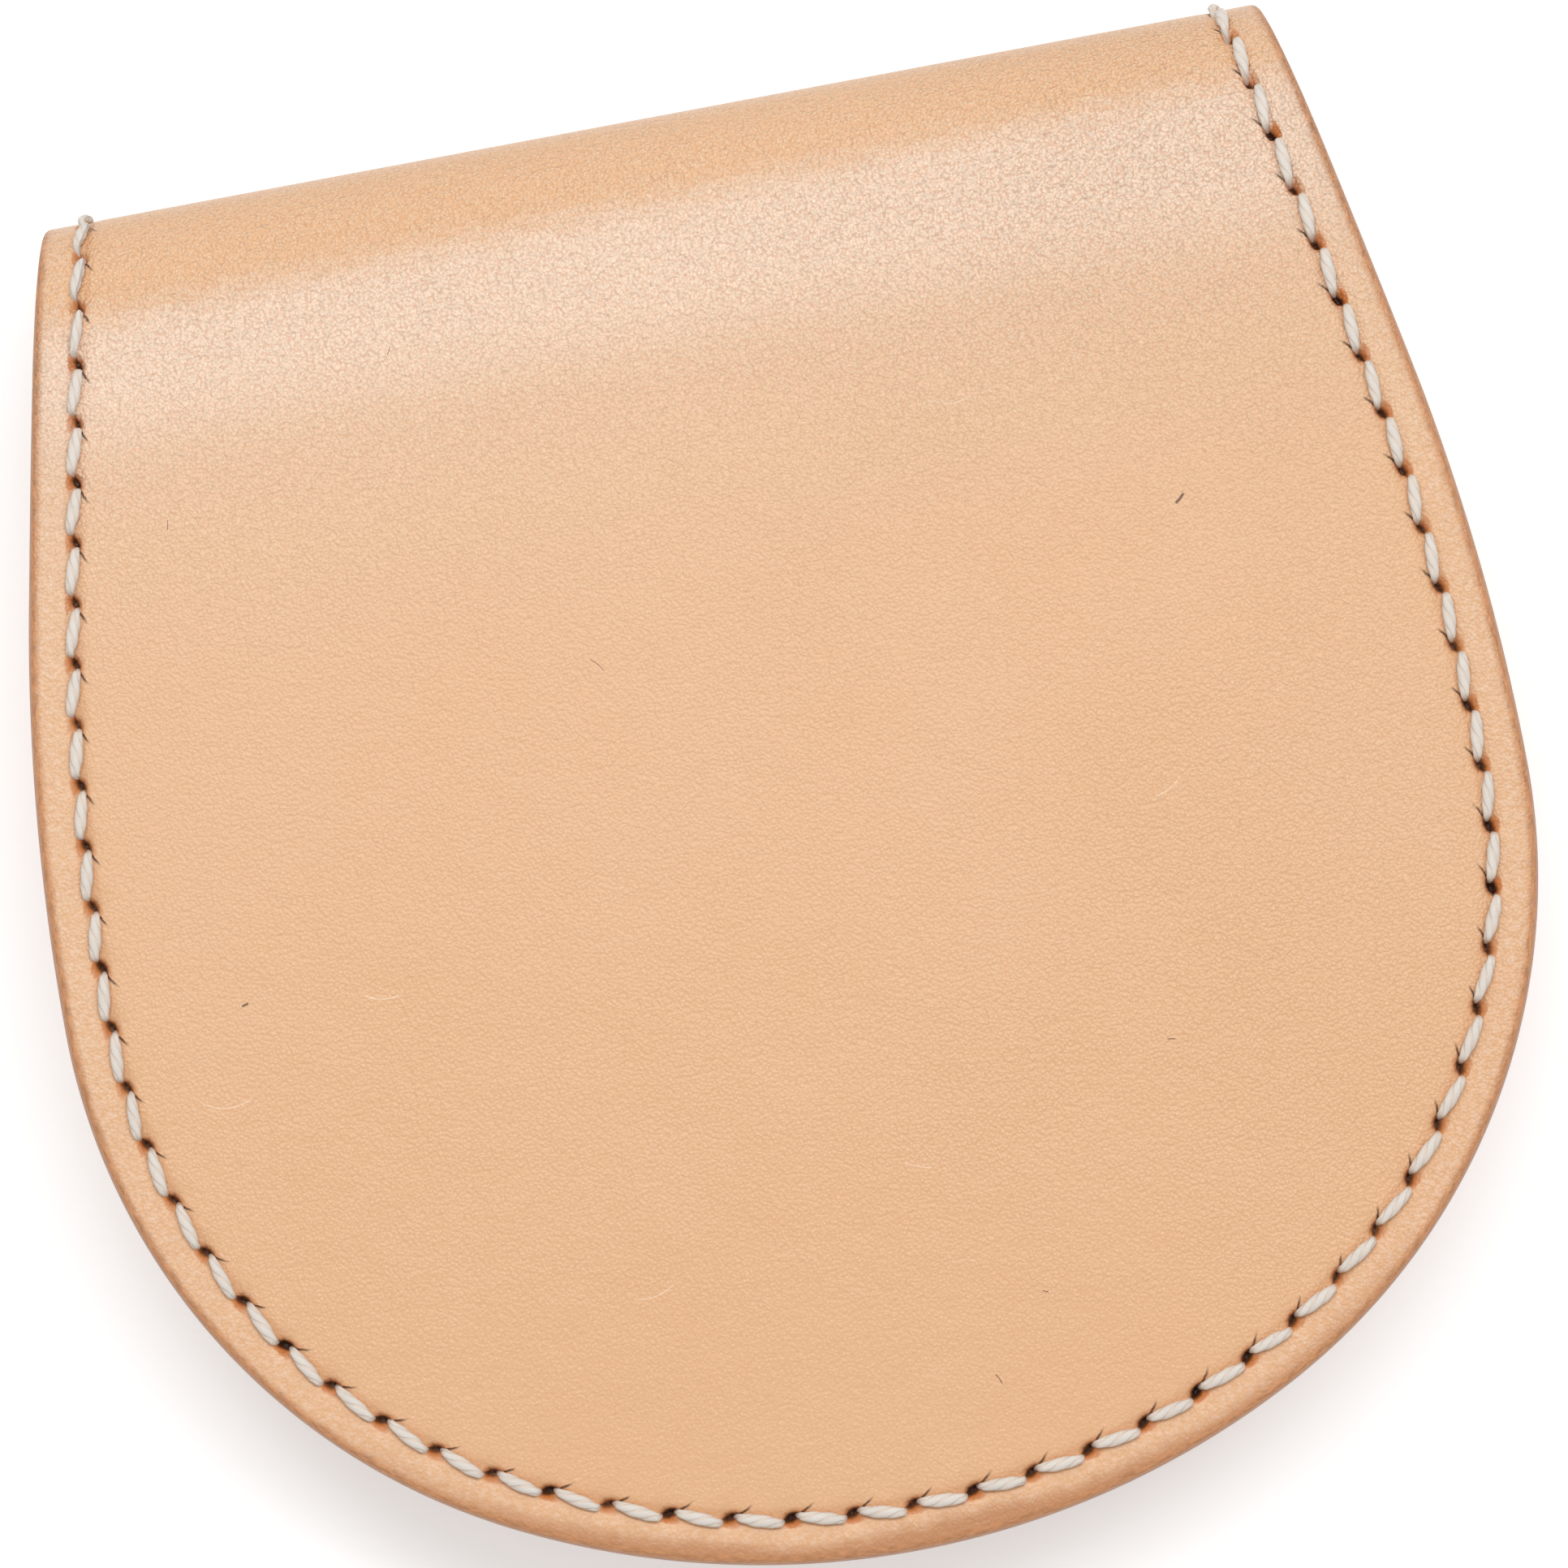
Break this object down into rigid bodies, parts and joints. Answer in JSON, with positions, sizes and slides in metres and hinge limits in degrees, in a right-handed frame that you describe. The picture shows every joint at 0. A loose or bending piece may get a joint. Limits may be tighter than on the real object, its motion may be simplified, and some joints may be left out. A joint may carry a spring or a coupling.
{
  "type": "coin purse",
  "caption": "Horseshoe leather coin purse with a folded-over lid, a gusseted coin pocket and a concealed press stud.",
  "frame": {"origin": "centre of the bounding box in plan, on the outside of the back that the purse lies on", "axes": "+X across the purse, +Y towards the fold, +Z out of the lid"},
  "size_m": [0.085, 0.0847, 0.0164],
  "materials": {
    "outer_leather": "undyed vegetable-tanned grain, lightly polished",
    "lining_leather": "undyed smooth-split lining, matte",
    "thread": "waxed twisted linen",
    "brass": "pressed and polished",
    "spring_steel": "drawn wire"
  },
  "bodies": {
    "back": {"outer_back": "outer_leather", "lining_back": "lining_leather", "gusset": "lining_leather", "pocket_front": "outer_leather", "back_seam": "thread", "pocket_seam": "thread", "snap_stud": "brass", "snap_rivet": "brass"},
    "fold": {"outer_fold": "outer_leather", "lining_fold": "lining_leather", "fold_seam": "thread"},
    "lid": {"outer_lid": "outer_leather", "lining_lid": "lining_leather", "lid_seam": "thread", "snap_cap": "brass", "snap_socket": "brass", "snap_spring": "spring_steel"}
  },
  "joints": [
    {"name": "fold_at_back", "type": "hinge", "parent": "back", "child": "fold", "pos_m": [0, 0.03906, 0.00319], "axis": [-1, 0, 0], "range_deg": [0, 90], "deforming": ["outer_fold", "lining_fold", "fold_seam"]},
    {"name": "fold_at_lid", "type": "hinge", "parent": "fold", "child": "lid", "pos_m": [0, 0.03906, 0.01281], "axis": [-1, 0, 0], "range_deg": [0, 90]}
  ],
  "couplings": [
    {"joint": "fold_at_lid", "follows": "fold_at_back", "ratio": 1}
  ]
}
